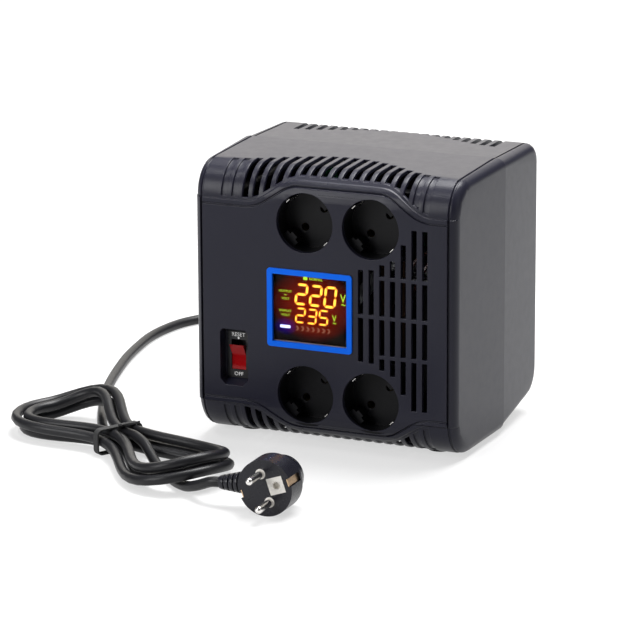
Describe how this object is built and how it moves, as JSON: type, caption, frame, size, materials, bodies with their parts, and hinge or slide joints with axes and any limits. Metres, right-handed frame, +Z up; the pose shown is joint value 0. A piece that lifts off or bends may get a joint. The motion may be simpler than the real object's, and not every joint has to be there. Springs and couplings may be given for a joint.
{
  "type": "voltage stabilizer",
  "caption": "Upright mains voltage stabilizer in a vented plastic case, with round recessed sockets, a numeric display, a rocker breaker and a bundled lead with a plug.",
  "frame": {"origin": "middle of the case's base, on the surface that the feet stand on; halfway between the display frame's face and the back wall", "axes": "+X to the right as the face is seen, +Y from the face to the back, +Z up"},
  "size_m": [0.3233, 0.4511, 0.1906],
  "materials": {
    "case": "fine matte texture",
    "foot_rubber": "matte",
    "zinc": "zinc plated",
    "copper": "bare",
    "contact_brass": "bare",
    "blue_frame": "satin",
    "red_window": "smoked red",
    "lit_digits": "lit",
    "lamp_black": "satin",
    "circuit_board": "satin",
    "socket_black": "satin",
    "rocker_red": "gloss",
    "core_steel": "stamped sheets",
    "pale_plastic": "satin",
    "relay_blue": "satin",
    "terminal_green": "satin",
    "wire_brown": "satin",
    "wire_red": "satin",
    "ribbon_grey": "satin",
    "cord_black": "satin",
    "tie_black": "braided",
    "plug_black": "satin",
    "nickel": "nickel plated"
  },
  "bodies": {
    "stabilizer": {"front_shell": "case", "rear_shell": "case", "case_screws": "zinc", "feet": "foot_rubber", "socket_insert_ul": "socket_black", "socket_insert_ur": "socket_black", "socket_insert_ll": "socket_black", "socket_insert_lr": "socket_black", "earth_clip_ul": "nickel", "earth_clip_ur": "nickel", "earth_clip_ll": "nickel", "earth_clip_lr": "nickel", "pin_contacts_ul": "contact_brass", "pin_contacts_ur": "contact_brass", "pin_contacts_ll": "contact_brass", "pin_contacts_lr": "contact_brass", "socket_cover_ul": "socket_black", "socket_cover_ur": "socket_black", "socket_cover_ll": "socket_black", "socket_cover_lr": "socket_black", "socket_screws": "zinc", "live_bus": "copper", "neutral_bus": "copper", "display_bezel": "blue_frame", "display_window": "red_window", "display_segments": "lit_digits", "display_lamp_block": "lamp_black", "display_board": "circuit_board", "display_screws": "zinc", "breaker_body": "socket_black", "breaker_terminals": "contact_brass", "transformer_core": "core_steel", "transformer_bobbin": "pale_plastic", "transformer_winding": "copper", "transformer_bracket": "zinc", "transformer_screws": "zinc", "control_board": "circuit_board", "relays": "relay_blue", "capacitors": "lamp_black", "terminal_block": "terminal_green", "board_screws": "zinc", "supply_wires": "wire_brown", "output_wires": "wire_red", "display_ribbon": "ribbon_grey", "cord_gland": "cord_black", "cord_lead": "cord_black", "cord_hank": "cord_black", "cord_tail": "cord_black", "twist_tie": "tie_black", "plug_body": "plug_black", "plug_sleeve": "plug_black", "plug_pins": "nickel", "plug_earth_strips": "nickel", "plug_earth_insert": "pale_plastic"},
    "rocker": {"breaker_rocker": "rocker_red"}
  },
  "joints": [
    {"name": "rocker_tilt", "type": "hinge", "parent": "stabilizer", "child": "rocker", "pos_m": [-0.065, -0.06535, 0.0584], "axis": [1, 0, 0], "range_deg": [-28, 0]}
  ]
}
